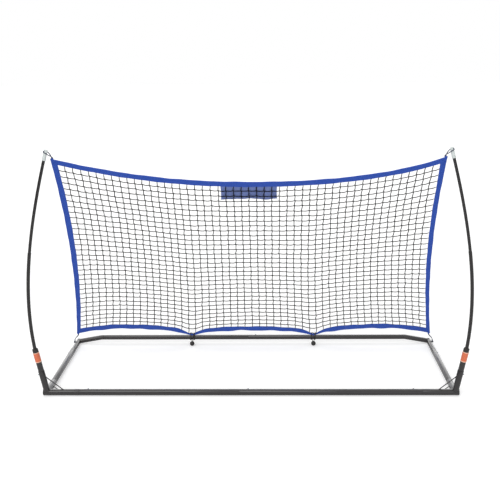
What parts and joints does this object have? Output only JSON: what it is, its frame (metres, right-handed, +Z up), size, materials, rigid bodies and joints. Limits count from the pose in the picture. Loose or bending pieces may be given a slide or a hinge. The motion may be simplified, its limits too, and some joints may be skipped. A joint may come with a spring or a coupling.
{
  "type": "rebounder net",
  "caption": "Free-standing ball rebounder: a steel tube base, two bent rods in tilted sockets and a leaning knotted net with a webbing hem.",
  "frame": {"origin": "on the floor, under the middle of the whole outline seen from above", "axes": "+Z up; +X along the long front bar; +Y from the front bar with the pole sockets to the rear bar that the net is tied to, which is the side the player stands on"},
  "size_m": [2.537, 0.9468, 1.4581],
  "materials": {
    "frame_steel": "semi-gloss black powder coat",
    "snap_steel": "zinc-plated spring steel",
    "black_plastic": "moulded, fine grain",
    "orange_film": "printed film, blank",
    "pole_fibreglass": "pultruded rod with a smooth black skin",
    "white_plastic": "translucent moulded cap",
    "net_twine": "knotted twine",
    "blue_webbing": "folded woven tape, stitched",
    "panel_cloth": "woven cloth, hemmed",
    "elastic_cord": "braided elastic cord",
    "ball_plastic": "moulded ball with a parting line"
  },
  "bodies": {
    "frame": {"front_stub_left": "frame_steel", "front_stub_right": "frame_steel", "side_stub_left": "frame_steel", "side_stub_right": "frame_steel", "pole_socket_left": "frame_steel", "pole_socket_right": "frame_steel", "socket_brace_left": "frame_steel", "socket_brace_right": "frame_steel", "corner_brace_left": "frame_steel", "corner_brace_right": "frame_steel", "end_cap_left": "black_plastic", "end_cap_right": "black_plastic", "front_bar_left": "frame_steel", "front_bar_right": "frame_steel", "side_tube_left": "frame_steel", "side_tube_right": "frame_steel", "rear_corner_left": "frame_steel", "rear_corner_right": "frame_steel", "rear_bar_left": "frame_steel", "rear_bar_right": "frame_steel", "pole_ferrule_left": "frame_steel", "pole_ferrule_right": "frame_steel", "label_band_left": "orange_film", "label_band_right": "orange_film", "pole_collar_left": "black_plastic", "pole_collar_right": "black_plastic", "pole_left": "pole_fibreglass", "pole_right": "pole_fibreglass", "pole_tip_left": "white_plastic", "pole_tip_right": "white_plastic", "net_mesh": "net_twine", "hem_top": "blue_webbing", "hem_bottom": "blue_webbing", "hem_left": "blue_webbing", "hem_right": "blue_webbing", "top_panel": "panel_cloth", "top_loop_left": "elastic_cord", "top_loop_right": "elastic_cord", "corner_hook_left": "black_plastic", "corner_hook_right": "black_plastic", "bottom_loop_left": "elastic_cord", "bottom_loop_right": "elastic_cord", "tie_loop_left": "elastic_cord", "tie_loop_right": "elastic_cord"},
    "front_left_button": {"snap_button_front_left": "snap_steel"},
    "front_middle_button": {"snap_button_front_middle": "snap_steel"},
    "front_right_button": {"snap_button_front_right": "snap_steel"},
    "side_front_left_button": {"snap_button_side_front_left": "snap_steel"},
    "side_front_right_button": {"snap_button_side_front_right": "snap_steel"},
    "side_rear_left_button": {"snap_button_side_rear_left": "snap_steel"},
    "side_rear_right_button": {"snap_button_side_rear_right": "snap_steel"},
    "rear_left_button": {"snap_button_rear_left": "snap_steel"},
    "rear_middle_button": {"snap_button_rear_middle": "snap_steel"},
    "rear_right_button": {"snap_button_rear_right": "snap_steel"},
    "left_pole_button": {"pole_button_left": "snap_steel"},
    "right_pole_button": {"pole_button_right": "snap_steel"},
    "left_ball": {"ball_cord_left": "elastic_cord", "ball_left": "ball_plastic"},
    "right_ball": {"ball_cord_right": "elastic_cord", "ball_right": "ball_plastic"}
  },
  "joints": [
    {"name": "press_front_left", "type": "slide", "parent": "frame", "child": "front_left_button", "axis": [0, 0, -1], "range_m": [0, 0.007], "stiffness_N_per_m": 2000, "springref_m": -0.001},
    {"name": "press_front_middle", "type": "slide", "parent": "frame", "child": "front_middle_button", "axis": [0, 0, -1], "range_m": [0, 0.007], "stiffness_N_per_m": 2000, "springref_m": -0.001},
    {"name": "press_front_right", "type": "slide", "parent": "frame", "child": "front_right_button", "axis": [0, 0, -1], "range_m": [0, 0.007], "stiffness_N_per_m": 2000, "springref_m": -0.001},
    {"name": "press_side_front_left", "type": "slide", "parent": "frame", "child": "side_front_left_button", "axis": [1, 0, 0], "range_m": [0, 0.007], "stiffness_N_per_m": 2000, "springref_m": -0.001},
    {"name": "press_side_front_right", "type": "slide", "parent": "frame", "child": "side_front_right_button", "axis": [-1, 0, 0], "range_m": [0, 0.007], "stiffness_N_per_m": 2000, "springref_m": -0.001},
    {"name": "press_side_rear_left", "type": "slide", "parent": "frame", "child": "side_rear_left_button", "axis": [1, 0, 0], "range_m": [0, 0.007], "stiffness_N_per_m": 2000, "springref_m": -0.001},
    {"name": "press_side_rear_right", "type": "slide", "parent": "frame", "child": "side_rear_right_button", "axis": [-1, 0, 0], "range_m": [0, 0.007], "stiffness_N_per_m": 2000, "springref_m": -0.001},
    {"name": "press_rear_left", "type": "slide", "parent": "frame", "child": "rear_left_button", "axis": [0, -1, 0], "range_m": [0, 0.007], "stiffness_N_per_m": 2000, "springref_m": -0.001},
    {"name": "press_rear_middle", "type": "slide", "parent": "frame", "child": "rear_middle_button", "axis": [0, 0, -1], "range_m": [0, 0.007], "stiffness_N_per_m": 2000, "springref_m": -0.001},
    {"name": "press_rear_right", "type": "slide", "parent": "frame", "child": "rear_right_button", "axis": [0, -1, 0], "range_m": [0, 0.007], "stiffness_N_per_m": 2000, "springref_m": -0.001},
    {"name": "press_pole_left", "type": "slide", "parent": "frame", "child": "left_pole_button", "axis": [0.9741, 0.1429, 0.175], "range_m": [0, 0.007], "stiffness_N_per_m": 2000, "springref_m": -0.001},
    {"name": "press_pole_right", "type": "slide", "parent": "frame", "child": "right_pole_button", "axis": [-0.9741, 0.1429, 0.175], "range_m": [0, 0.007], "stiffness_N_per_m": 2000, "springref_m": -0.001},
    {"name": "swing_left_ball", "type": "hinge", "parent": "frame", "child": "left_ball", "pos_m": [-0.413, 0.45, 0.046], "axis": [-1, 0, 0], "range_deg": [0, 45]},
    {"name": "swing_right_ball", "type": "hinge", "parent": "frame", "child": "right_ball", "pos_m": [0.413, 0.45, 0.046], "axis": [-1, 0, 0], "range_deg": [0, 45]}
  ]
}
